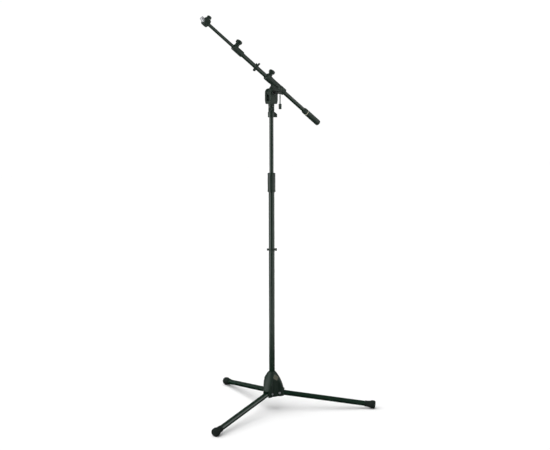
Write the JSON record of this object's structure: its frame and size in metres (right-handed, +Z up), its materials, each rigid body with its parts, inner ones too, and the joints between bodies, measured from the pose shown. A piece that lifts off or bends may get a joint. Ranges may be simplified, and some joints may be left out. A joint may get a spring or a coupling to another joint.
{
  "type": "boom microphone stand",
  "caption": "Floor-standing microphone stand with folding legs, telescopic pole and a tilting, sliding boom that ends in a threaded stud.",
  "frame": {"origin": "on the floor, in the middle of the object's box seen from above; the pole axis stands 11.63 mm toward +X and 85.26 mm toward -Y from it", "axes": "+Z up along the pole; the boom lies parallel to the XZ plane with its threaded end toward -X and its counterweight toward +X"},
  "size_m": [0.711, 0.6392, 1.5036],
  "materials": {
    "casting": "fine textured powder coat, satin",
    "tube": "smooth black powder coat, semi-gloss",
    "plastic": "moulded black nylon, satin",
    "rubber": "matt black rubber",
    "zinc": "bright zinc plate",
    "chrome": "polished chrome plate",
    "black_steel": "black oxide, satin",
    "label": "blank printed film, satin",
    "ring": "ivory nylon, satin"
  },
  "bodies": {
    "base": {"base_casting": "casting", "base_label": "label", "lower_tube": "tube", "pole_plug": "plastic", "clutch_collar": "plastic", "clutch_collet": "plastic", "leg_right_hinge_screw": "zinc", "leg_right_hinge_nut": "zinc", "leg_rear_hinge_screw": "zinc", "leg_rear_hinge_nut": "zinc", "leg_front_hinge_screw": "zinc", "leg_front_hinge_nut": "zinc"},
    "leg_right": {"leg_right_tube": "tube", "leg_right_knuckle": "casting", "leg_right_foot": "rubber"},
    "leg_rear": {"leg_rear_tube": "tube", "leg_rear_knuckle": "casting", "leg_rear_foot": "rubber"},
    "leg_front": {"leg_front_tube": "tube", "leg_front_knuckle": "casting", "leg_front_foot": "rubber"},
    "pole_clip": {"pole_cable_clip": "plastic"},
    "clutch": {"clutch_grip": "plastic"},
    "column": {"upper_tube": "tube", "upper_tube_guide": "plastic", "top_stud": "black_steel", "swivel_lock_nut": "black_steel", "top_cable_clip": "plastic"},
    "fork": {"swivel_fork": "casting", "clamp_nut": "black_steel"},
    "clamp": {"clamp_bolt": "black_steel", "clamp_washer": "black_steel", "clamp_bolt_eye": "black_steel"},
    "handle": {"tommy_bar": "chrome", "tommy_bar_cap_upper": "plastic", "tommy_bar_cap_lower": "plastic"},
    "holder": {"boom_holder": "casting", "friction_disc_near": "plastic", "friction_disc_far": "plastic"},
    "holder_grip": {"holder_knob": "plastic", "holder_knob_screw": "zinc"},
    "boom": {"boom_tube": "tube", "boom_front_clamp": "casting", "weight_collar": "casting", "weight_ring": "ring", "counterweight": "casting"},
    "boom_clip": {"boom_cable_clip": "plastic"},
    "front_grip": {"front_knob": "plastic", "front_knob_screw": "zinc"},
    "rod": {"boom_rod": "tube", "boom_rod_guide": "plastic", "tip_body": "casting", "tip_stud": "chrome"}
  },
  "joints": [
    {"name": "leg_right_fold", "type": "hinge", "parent": "base", "child": "leg_right", "pos_m": [0.03665, -0.10182, 0.0664], "axis": [0.5519, 0.8339, 0], "range_deg": [0, 82]},
    {"name": "leg_rear_fold", "type": "hinge", "parent": "base", "child": "leg_rear", "pos_m": [0.01346, -0.05532, 0.0664], "axis": [-0.9981, 0.061, 0], "range_deg": [0, 82]},
    {"name": "leg_front_fold", "type": "hinge", "parent": "base", "child": "leg_front", "pos_m": [-0.01522, -0.09865, 0.0664], "axis": [0.4462, -0.8949, 0], "range_deg": [0, 82]},
    {"name": "pole_clip_slide", "type": "slide", "parent": "base", "child": "pole_clip", "axis": [0, 0, 1], "range_m": [-0.44, 0.21]},
    {"name": "clutch_twist", "type": "hinge", "parent": "base", "child": "clutch", "pos_m": [0.01163, -0.08526, 0.8875], "axis": [0, 0, 1], "range_deg": [-180, 0]},
    {"name": "height_slide", "type": "slide", "parent": "base", "child": "column", "axis": [0, 0, 1], "range_m": [-0.205, 0.4]},
    {"name": "swivel_pan", "type": "hinge", "parent": "column", "child": "fork", "pos_m": [0.01163, -0.08526, 1.175], "axis": [0, 0, 1], "range_deg": [-180, 180]},
    {"name": "clamp_turn", "type": "hinge", "parent": "fork", "child": "clamp", "pos_m": [0.01163, -0.08526, 1.228], "axis": [0, -1, 0], "range_deg": [-180, 180]},
    {"name": "handle_slide", "type": "slide", "parent": "clamp", "child": "handle", "axis": [0, 0, 1], "range_m": [0, 0.036]},
    {"name": "boom_tilt", "type": "hinge", "parent": "fork", "child": "holder", "pos_m": [0.01163, -0.08526, 1.228], "axis": [0, 1, 0], "range_deg": [-72, 38]},
    {"name": "holder_knob_turn", "type": "hinge", "parent": "holder", "child": "holder_grip", "pos_m": [-0.00246, -0.08526, 1.28237], "axis": [0.5934, 0, 0.8049], "range_deg": [-180, 180]},
    {"name": "boom_slide", "type": "slide", "parent": "holder", "child": "boom", "axis": [-0.8049, 0, 0.5934], "range_m": [-0.035, 0.1]},
    {"name": "boom_clip_slide", "type": "slide", "parent": "boom", "child": "boom_clip", "axis": [-0.8049, 0, 0.5934], "range_m": [0, 0.06]},
    {"name": "front_knob_turn", "type": "hinge", "parent": "boom", "child": "front_grip", "pos_m": [-0.14645, -0.08526, 1.38853], "axis": [0.5934, 0, 0.8049], "range_deg": [-180, 180]},
    {"name": "rod_slide", "type": "slide", "parent": "boom", "child": "rod", "axis": [-0.8049, 0, 0.5934], "range_m": [-0.12, 0.12]}
  ]
}
